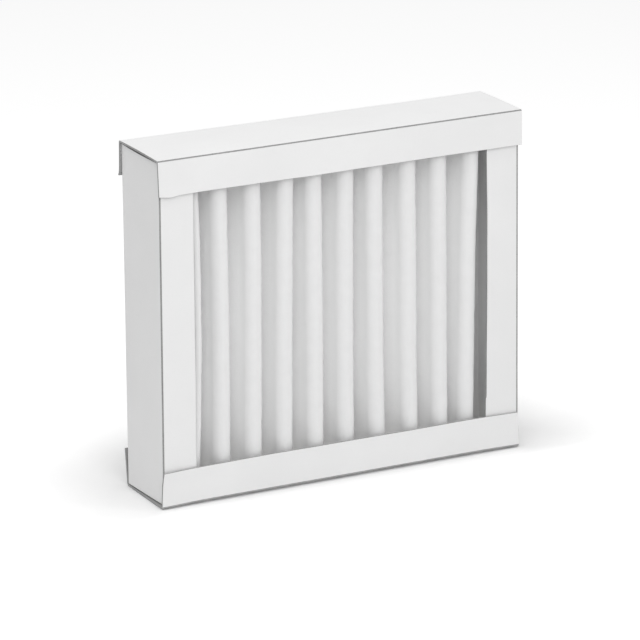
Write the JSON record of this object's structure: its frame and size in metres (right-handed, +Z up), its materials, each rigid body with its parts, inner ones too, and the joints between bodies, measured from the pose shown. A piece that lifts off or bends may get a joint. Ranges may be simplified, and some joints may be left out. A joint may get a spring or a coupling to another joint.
{
  "type": "pleated panel air filter",
  "caption": "Rectangular panel filter: white fleece folded into deep vertical pleats, glued in a frame of slit-folded white-lined card channels.",
  "frame": {"origin": "centre of the footprint, on the floor the filter stands on, midway between the front faces and the free edges of the leaning rear flanges", "axes": "+X along the panel's width, to the right as seen from the front; +Y from the front face to the rear; +Z up, along the pleats"},
  "size_m": [0.23, 0.05, 0.2],
  "materials": {
    "frame_board": "white coated liner outside, grey core in the score lines, cut ends and inside",
    "fleece": "soft white synthetic nonwoven with a faint fibre mottle",
    "hot_melt": "milky white hot-melt glue, satin"
  },
  "bodies": {
    "root": {"top_channel": "frame_board", "bottom_channel": "frame_board", "left_channel": "frame_board", "right_channel": "frame_board", "pleated_media": "fleece", "top_glue_bed": "hot_melt", "bottom_glue_bed": "hot_melt", "left_tail_glue": "hot_melt", "right_tail_glue": "hot_melt", "front_lap_glue": "hot_melt", "rear_lap_glue": "hot_melt"}
  },
  "joints": []
}
